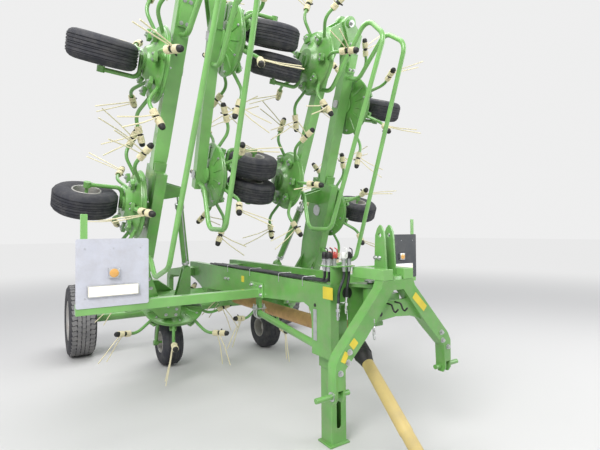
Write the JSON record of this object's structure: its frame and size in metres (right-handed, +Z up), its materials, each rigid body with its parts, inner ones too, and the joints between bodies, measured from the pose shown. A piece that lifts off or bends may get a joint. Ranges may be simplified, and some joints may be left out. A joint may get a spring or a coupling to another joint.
{
  "type": "trailed rotary hay tedder",
  "caption": "Trailed rotary hay tedder folded for the road: a row of tined rotors on hinged wings, small rotor wheels, a transport axle, a swivelling headstock and a parking stand.",
  "frame": {"origin": "on the floor below the middle of the machine", "axes": "+X to the right across the machine as seen by someone following it with +Y away, +Y to the rear, +Z up"},
  "size_m": [3.1882, 4.6584, 3.5591],
  "materials": {
    "paint_green": "satin, worn",
    "paint_light_green": "satin",
    "rotor_green": "satin, galvanised tines in cream plastic coils",
    "tyre_rubber": "matt",
    "small_wheel": "matt tyre on a pale rim",
    "rim_paint": "satin",
    "board_sheet": "satin",
    "lamp_plastic": "clear over coloured",
    "cylinder_chrome": "polished",
    "tube_ochre": "rusty",
    "guard_yellow": "matt"
  },
  "bodies": {
    "frame": {"main_frame": "paint_green", "rotor_beam": "paint_green", "stand_sleeve": "paint_green", "drive_tube": "tube_ochre", "board_bar": "paint_light_green", "board_left": "board_sheet", "board_right": "board_sheet", "reflectors": "lamp_plastic", "middle_legs": "paint_green"},
    "stand": {"stand_leg": "paint_green"},
    "shaft": {"drive_shaft": "guard_yellow"},
    "headstock": {"headstock": "paint_green", "top_cover": "paint_light_green"},
    "axle": {"axle_frame": "paint_green"},
    "wing_left": {"root_left": "paint_green", "inner_left": "paint_light_green", "outer_left": "paint_light_green", "hoops_left": "paint_light_green", "legs_left": "paint_green"},
    "wing_right": {"root_right": "paint_green", "inner_right": "paint_light_green", "outer_right": "paint_light_green", "hoops_right": "paint_light_green", "legs_right": "paint_green"},
    "barrel_left": {"barrel_left": "paint_green"},
    "ram_left": {"ram_left": "cylinder_chrome"},
    "barrel_right": {"barrel_right": "paint_green"},
    "ram_right": {"ram_right": "cylinder_chrome"},
    "rotor_l1": {"rotor_l1": "rotor_green"},
    "wheel_l1": {"wheel_l1": "small_wheel"},
    "rotor_l2": {"rotor_l2": "rotor_green"},
    "wheel_l2": {"wheel_l2": "small_wheel"},
    "rotor_l3": {"rotor_l3": "rotor_green"},
    "wheel_l3": {"wheel_l3": "small_wheel"},
    "rotor_l4": {"rotor_l4": "rotor_green"},
    "wheel_l4": {"wheel_l4": "small_wheel"},
    "rotor_l5": {"rotor_l5": "rotor_green"},
    "wheel_l5": {"wheel_l5": "small_wheel"},
    "transport_wheel_left": {"tyre_left": "tyre_rubber", "rim_left": "rim_paint"},
    "rotor_r1": {"rotor_r1": "rotor_green"},
    "wheel_r1": {"wheel_r1": "small_wheel"},
    "rotor_r2": {"rotor_r2": "rotor_green"},
    "wheel_r2": {"wheel_r2": "small_wheel"},
    "rotor_r3": {"rotor_r3": "rotor_green"},
    "wheel_r3": {"wheel_r3": "small_wheel"},
    "rotor_r4": {"rotor_r4": "rotor_green"},
    "wheel_r4": {"wheel_r4": "small_wheel"},
    "rotor_r5": {"rotor_r5": "rotor_green"},
    "wheel_r5": {"wheel_r5": "small_wheel"},
    "transport_wheel_right": {"tyre_right": "tyre_rubber", "rim_right": "rim_paint"}
  },
  "joints": [
    {"name": "stand_slide", "type": "slide", "parent": "frame", "child": "stand", "axis": [0, 0, 1], "range_m": [0, 0.3]},
    {"name": "headstock_swivel", "type": "hinge", "parent": "frame", "child": "headstock", "pos_m": [0, -1.27276, 0.8], "axis": [0, 0, 1], "range_deg": [-20, 20]},
    {"name": "shaft_lift", "type": "hinge", "parent": "frame", "child": "shaft", "pos_m": [-0.04, -1.18676, 0.61], "axis": [-0.9548, 0.2973, 0], "range_deg": [0, 25]},
    {"name": "axle_swing", "type": "hinge", "parent": "frame", "child": "axle", "pos_m": [0, 1.17924, 0.9], "axis": [1, 0, 0], "range_deg": [0, 50]},
    {"name": "wing_fold_left", "type": "hinge", "parent": "frame", "child": "wing_left", "pos_m": [-0.805, 0.76232, 0.76012], "axis": [0, -0.9205, -0.3907], "range_deg": [0, 93.25]},
    {"name": "wing_fold_right", "type": "hinge", "parent": "frame", "child": "wing_right", "pos_m": [0.805, 0.76232, 0.76012], "axis": [0, 0.9205, 0.3907], "range_deg": [0, 93.25]},
    {"name": "barrel_swing_left", "type": "hinge", "parent": "frame", "child": "barrel_left", "pos_m": [-0.495, 0.69164, 0.97781], "axis": [0, -0.9205, -0.3907], "range_deg": [-1, 84.71]},
    {"name": "ram_slide_left", "type": "slide", "parent": "barrel_left", "child": "ram_left", "axis": [-0.2149, -0.3816, 0.899], "range_m": [-0.001, 0.5361]},
    {"name": "barrel_swing_right", "type": "hinge", "parent": "frame", "child": "barrel_right", "pos_m": [0.495, 0.69164, 0.97781], "axis": [0, 0.9205, 0.3907], "range_deg": [-1, 84.71]},
    {"name": "ram_slide_right", "type": "slide", "parent": "barrel_right", "child": "ram_right", "axis": [0.2149, -0.3816, 0.899], "range_m": [-0.001, 0.5361]},
    {"name": "rotor_turn_l1", "type": "hinge", "parent": "frame", "child": "rotor_l1", "pos_m": [-0.55, 0.94224, 0.541], "axis": [0, -0.3907, 0.9205], "continuous": true},
    {"name": "wheel_roll_l1", "type": "hinge", "parent": "frame", "child": "wheel_l1", "pos_m": [-0.55, 1.07353, 0.23171], "axis": [1, 0, 0], "continuous": true},
    {"name": "rotor_turn_l2", "type": "hinge", "parent": "wing_left", "child": "rotor_l2", "pos_m": [-1.02866, 0.42666, 1.55089], "axis": [0.9984, 0.0222, -0.0522], "continuous": true},
    {"name": "wheel_roll_l2", "type": "hinge", "parent": "wing_left", "child": "wheel_l2", "pos_m": [-1.36412, 0.41922, 1.56842], "axis": [-0.0567, 0.3901, -0.919], "continuous": true},
    {"name": "rotor_turn_l3", "type": "hinge", "parent": "wing_left", "child": "rotor_l3", "pos_m": [-0.9663, -0.00246, 2.56182], "axis": [0.9984, 0.0222, -0.0522], "continuous": true},
    {"name": "wheel_roll_l3", "type": "hinge", "parent": "wing_left", "child": "wheel_l3", "pos_m": [-1.30175, -0.0099, 2.57935], "axis": [-0.0567, 0.3901, -0.919], "continuous": true},
    {"name": "rotor_turn_l4", "type": "hinge", "parent": "wing_left", "child": "rotor_l4", "pos_m": [-0.37866, -0.11608, 2.8295], "axis": [-0.9997, 0.0102, -0.0241], "continuous": true},
    {"name": "wheel_roll_l4", "type": "hinge", "parent": "wing_left", "child": "wheel_l4", "pos_m": [-0.04579, -0.16444, 2.94342], "axis": [-0.0262, -0.3906, 0.9202], "continuous": true},
    {"name": "rotor_turn_l5", "type": "hinge", "parent": "wing_left", "child": "rotor_l5", "pos_m": [-0.34987, 0.31358, 1.81729], "axis": [-0.9997, 0.0102, -0.0241], "continuous": true},
    {"name": "wheel_roll_l5", "type": "hinge", "parent": "wing_left", "child": "wheel_l5", "pos_m": [-0.01699, 0.26522, 1.93121], "axis": [-0.0262, -0.3906, 0.9202], "continuous": true},
    {"name": "transport_roll_left", "type": "hinge", "parent": "axle", "child": "transport_wheel_left", "pos_m": [-1.252, 1.94924, 0.38], "axis": [1, 0, 0], "continuous": true},
    {"name": "rotor_turn_r1", "type": "hinge", "parent": "frame", "child": "rotor_r1", "pos_m": [0.55, 0.94224, 0.541], "axis": [0, -0.3907, 0.9205], "continuous": true},
    {"name": "wheel_roll_r1", "type": "hinge", "parent": "frame", "child": "wheel_r1", "pos_m": [0.55, 1.07353, 0.23171], "axis": [1, 0, 0], "continuous": true},
    {"name": "rotor_turn_r2", "type": "hinge", "parent": "wing_right", "child": "rotor_r2", "pos_m": [1.02866, 0.42666, 1.55089], "axis": [-0.9984, 0.0222, -0.0522], "continuous": true},
    {"name": "wheel_roll_r2", "type": "hinge", "parent": "wing_right", "child": "wheel_r2", "pos_m": [1.36412, 0.41922, 1.56842], "axis": [-0.0567, -0.3901, 0.919], "continuous": true},
    {"name": "rotor_turn_r3", "type": "hinge", "parent": "wing_right", "child": "rotor_r3", "pos_m": [0.9663, -0.00246, 2.56182], "axis": [-0.9984, 0.0222, -0.0522], "continuous": true},
    {"name": "wheel_roll_r3", "type": "hinge", "parent": "wing_right", "child": "wheel_r3", "pos_m": [1.30175, -0.0099, 2.57935], "axis": [-0.0567, -0.3901, 0.919], "continuous": true},
    {"name": "rotor_turn_r4", "type": "hinge", "parent": "wing_right", "child": "rotor_r4", "pos_m": [0.37866, -0.11608, 2.8295], "axis": [0.9997, 0.0102, -0.0241], "continuous": true},
    {"name": "wheel_roll_r4", "type": "hinge", "parent": "wing_right", "child": "wheel_r4", "pos_m": [0.03977, -0.0746, 2.73177], "axis": [-0.0262, 0.3906, -0.9202], "continuous": true},
    {"name": "rotor_turn_r5", "type": "hinge", "parent": "wing_right", "child": "rotor_r5", "pos_m": [0.34987, 0.31358, 1.81729], "axis": [0.9997, 0.0102, -0.0241], "continuous": true},
    {"name": "wheel_roll_r5", "type": "hinge", "parent": "wing_right", "child": "wheel_r5", "pos_m": [0.01097, 0.35506, 1.71957], "axis": [-0.0262, 0.3906, -0.9202], "continuous": true},
    {"name": "transport_roll_right", "type": "hinge", "parent": "axle", "child": "transport_wheel_right", "pos_m": [1.252, 1.94924, 0.38], "axis": [1, 0, 0], "continuous": true}
  ],
  "couplings": [
    {"joint": "barrel_swing_left", "follows": "wing_fold_left", "ratio": 0.89766},
    {"joint": "ram_slide_left", "follows": "wing_fold_left", "m_per_rad": 0.32818},
    {"joint": "barrel_swing_right", "follows": "wing_fold_left", "ratio": 0.89766},
    {"joint": "ram_slide_right", "follows": "wing_fold_left", "m_per_rad": 0.32818},
    {"joint": "wing_fold_right", "follows": "wing_fold_left", "ratio": 1},
    {"joint": "rotor_turn_l2", "follows": "rotor_turn_l1", "ratio": -1},
    {"joint": "rotor_turn_l3", "follows": "rotor_turn_l1", "ratio": 1},
    {"joint": "rotor_turn_l4", "follows": "rotor_turn_l1", "ratio": -1},
    {"joint": "rotor_turn_l5", "follows": "rotor_turn_l1", "ratio": 1},
    {"joint": "rotor_turn_r1", "follows": "rotor_turn_l1", "ratio": -1},
    {"joint": "rotor_turn_r2", "follows": "rotor_turn_l1", "ratio": 1},
    {"joint": "rotor_turn_r3", "follows": "rotor_turn_l1", "ratio": -1},
    {"joint": "rotor_turn_r4", "follows": "rotor_turn_l1", "ratio": 1},
    {"joint": "rotor_turn_r5", "follows": "rotor_turn_l1", "ratio": -1}
  ]
}
